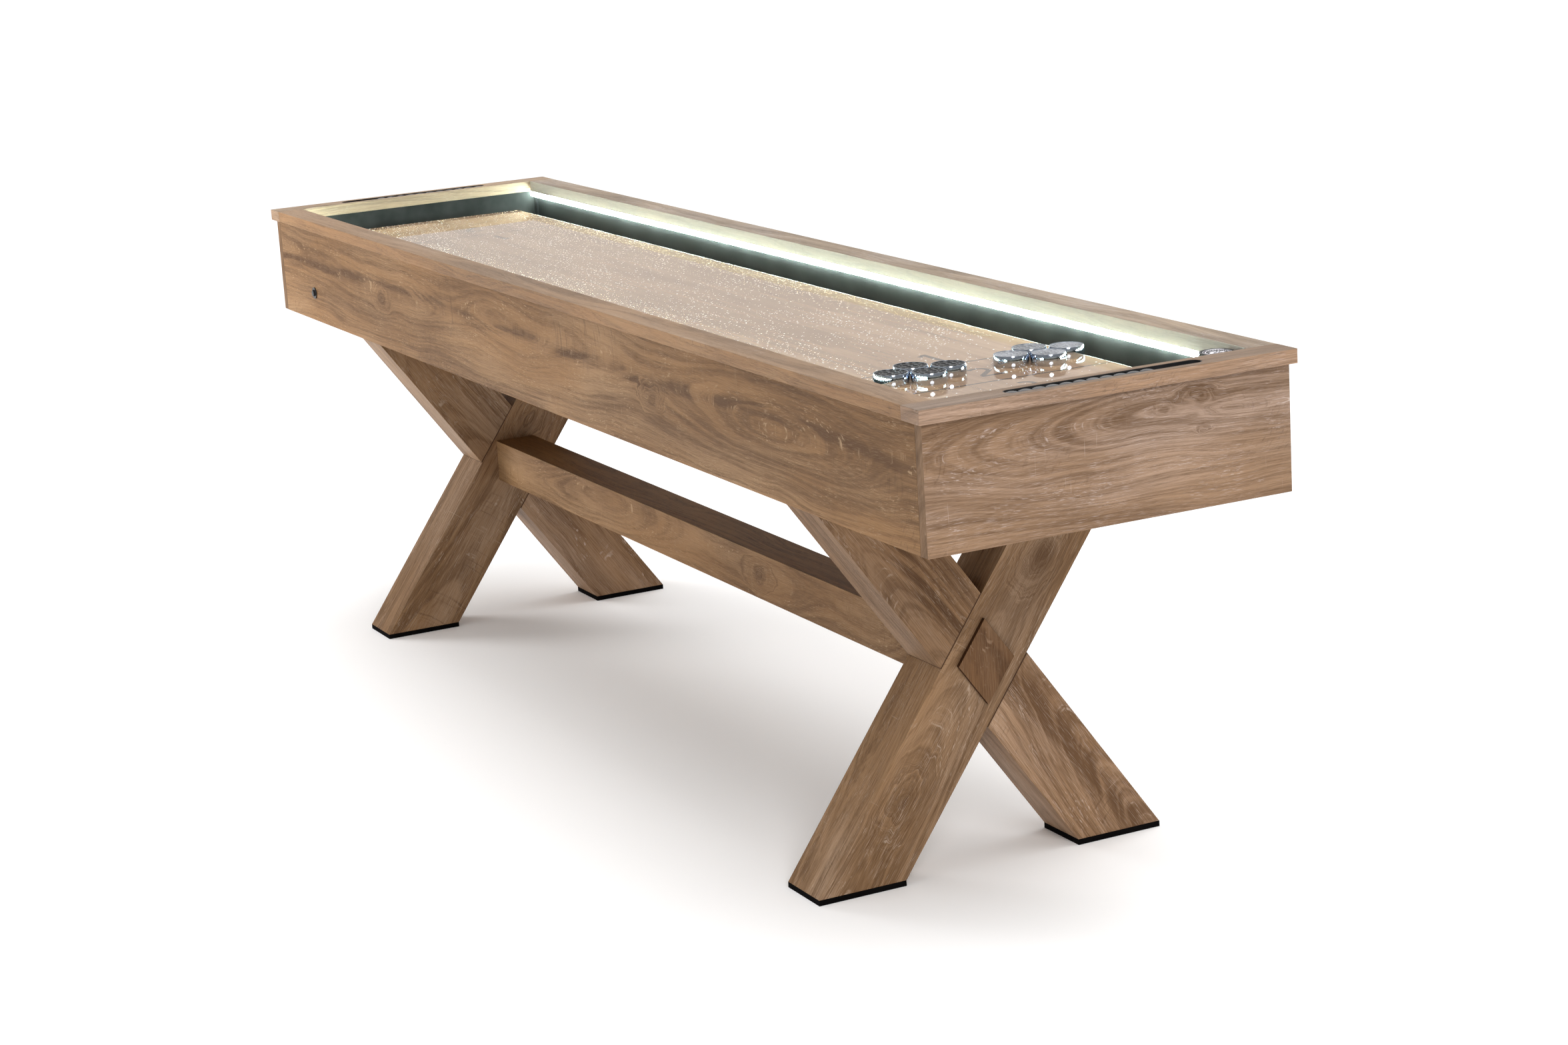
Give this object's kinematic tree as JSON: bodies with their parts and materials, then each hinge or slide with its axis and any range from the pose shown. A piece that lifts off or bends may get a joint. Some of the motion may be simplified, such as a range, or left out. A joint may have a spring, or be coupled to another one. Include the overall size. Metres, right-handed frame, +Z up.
{
  "type": "shuffleboard table",
  "caption": "Long shuffleboard table: raised playing board in a gutter well with edge lights, bead scorers in the end caps, pucks, and X-shaped trestles joined by a stretcher.",
  "frame": {"origin": "on the floor under the middle of the table", "axes": "+X along the table towards the near end, where the pucks are; -Y out of the front long side with the push button; +Z up"},
  "size_m": [2.743, 0.61, 0.816],
  "materials": {
    "oak_laminate": "weathered oak laminate with a limed grain, satin",
    "oak_cap": "lighter oak laminate with a limed grain, satin",
    "black_board": "black melamine board, low sheen",
    "raw_board": "unfinished fibreboard",
    "lacquered_playfield": "pale butcher-block board under a thick gloss coat",
    "zinc_steel": "zinc-plated",
    "black_steel": "black powder coat",
    "foot_rubber": "matt black rubber",
    "aluminium_angle": "satin",
    "led_diffuser": "milky cover, lit from behind",
    "black_plastic": "moulded, low sheen",
    "badge_metal": "pewter with a dark ring",
    "silver_plastic": "silver-grey moulded plastic",
    "puck_chrome": "polished chrome"
  },
  "bodies": {
    "table": {"side_panel_front": "oak_laminate", "side_panel_back": "oak_laminate", "end_panel_near": "oak_laminate", "end_panel_far": "oak_laminate", "cap_front": "oak_cap", "cap_back": "oak_cap", "cap_near": "oak_cap", "cap_far": "oak_cap", "liner_front": "black_board", "liner_back": "black_board", "liner_near": "black_board", "liner_far": "black_board", "gutter_floor": "black_board", "playfield": "lacquered_playfield", "playfield_bearers": "black_board", "cross_members": "raw_board", "corner_cleats": "raw_board", "bottom_panel": "raw_board", "leg_mount_blocks": "raw_board", "leg_plates": "black_steel", "leg_plate_bolts": "zinc_steel", "leg_top_screws": "zinc_steel", "long_leg_near": "oak_laminate", "long_leg_far": "oak_laminate", "upper_leg_near": "oak_laminate", "upper_leg_far": "oak_laminate", "lower_leg_near": "oak_laminate", "lower_leg_far": "oak_laminate", "diamond_plates": "oak_laminate", "stretcher": "oak_laminate", "stretcher_bolts": "zinc_steel", "barrel_nuts": "zinc_steel", "foot_pads": "foot_rubber", "led_channels": "aluminium_angle", "led_diffusers": "led_diffuser", "led_battery_box": "black_plastic", "led_wiring": "black_plastic", "button_housing": "black_plastic", "corner_badge": "badge_metal", "scorer_trays": "black_plastic", "scorer_rods": "zinc_steel"},
    "power_button": {"button_cap": "black_plastic"},
    "beads_near": {"scorer_beads_near": "silver_plastic"},
    "beads_far": {"scorer_beads_far": "silver_plastic"},
    "puck_black_1": {"puck_black_1": "puck_chrome", "puck_cap_black_1": "black_plastic"},
    "puck_black_2": {"puck_black_2": "puck_chrome", "puck_cap_black_2": "black_plastic"},
    "puck_black_3": {"puck_black_3": "puck_chrome", "puck_cap_black_3": "black_plastic"},
    "puck_black_4": {"puck_black_4": "puck_chrome", "puck_cap_black_4": "black_plastic"},
    "puck_silver_1": {"puck_silver_1": "puck_chrome", "puck_cap_silver_1": "silver_plastic"},
    "puck_silver_2": {"puck_silver_2": "puck_chrome", "puck_cap_silver_2": "silver_plastic"},
    "puck_silver_3": {"puck_silver_3": "puck_chrome", "puck_cap_silver_3": "silver_plastic"},
    "puck_silver_4": {"puck_silver_4": "puck_chrome", "puck_cap_silver_4": "silver_plastic"}
  },
  "joints": [
    {"name": "button_press", "type": "slide", "parent": "table", "child": "power_button", "axis": [0, 1, 0], "range_m": [0, 0.0025], "stiffness_N_per_m": 600, "springref_m": -0.001},
    {"name": "beads_near_slide", "type": "slide", "parent": "table", "child": "beads_near", "axis": [0, 1, 0], "range_m": [0, 0.075]},
    {"name": "beads_far_slide", "type": "slide", "parent": "table", "child": "beads_far", "axis": [0, -1, 0], "range_m": [0, 0.075]},
    {"name": "puck_black_1_lift", "type": "slide", "parent": "table", "child": "puck_black_1", "axis": [0, 0, 1], "range_m": [0, 0.12]},
    {"name": "puck_black_2_glide", "type": "slide", "parent": "table", "child": "puck_black_2", "axis": [-1, 0, 0], "range_m": [0, 2.1]},
    {"name": "puck_black_3_glide", "type": "slide", "parent": "table", "child": "puck_black_3", "axis": [1, 0, 0], "range_m": [0, 0.15]},
    {"name": "puck_black_4_lift", "type": "slide", "parent": "table", "child": "puck_black_4", "axis": [0, 0, 1], "range_m": [0, 0.12]},
    {"name": "puck_silver_1_lift", "type": "slide", "parent": "table", "child": "puck_silver_1", "axis": [0, 0, 1], "range_m": [0, 0.12]},
    {"name": "puck_silver_2_glide", "type": "slide", "parent": "table", "child": "puck_silver_2", "axis": [-1, 0, 0], "range_m": [0, 2.1]},
    {"name": "puck_silver_3_glide", "type": "slide", "parent": "table", "child": "puck_silver_3", "axis": [1, 0, 0], "range_m": [0, 0.15]},
    {"name": "puck_silver_4_lift", "type": "slide", "parent": "table", "child": "puck_silver_4", "axis": [0, 0, 1], "range_m": [0, 0.12]}
  ]
}
